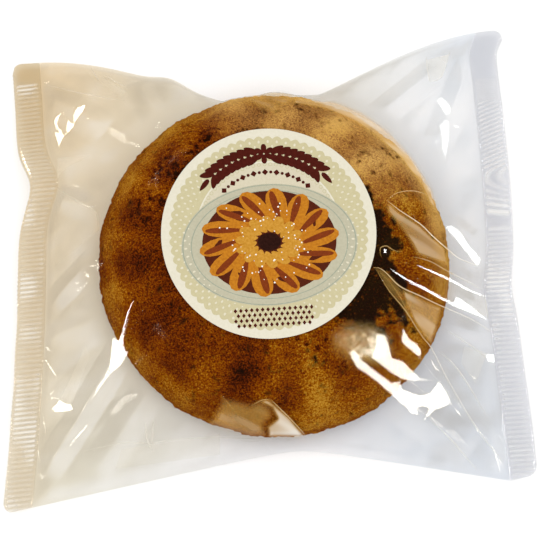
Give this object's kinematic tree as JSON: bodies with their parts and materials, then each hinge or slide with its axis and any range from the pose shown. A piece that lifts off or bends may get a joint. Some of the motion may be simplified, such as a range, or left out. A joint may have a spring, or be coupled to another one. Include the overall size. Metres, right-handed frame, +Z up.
{
  "type": "marbled ring cake in a clear flow-wrap bag",
  "caption": "Fluted marble ring cake lying flat in a clear pillow bag with crimped end seals and a round paper label on top.",
  "frame": {"origin": "on the table under the middle of the bag's bounding box", "axes": "+X from the left end seal to the right one, +Y away from the viewer, +Z up out of the cake's flat base"},
  "size_m": [0.2668, 0.2332, 0.0579],
  "materials": {
    "film": "clear glossy polypropylene film over golden brown cake",
    "label_paper": "coated cream paper with a printed ornament"
  },
  "bodies": {
    "root": {"bag": "film", "label": "label_paper"}
  },
  "joints": []
}
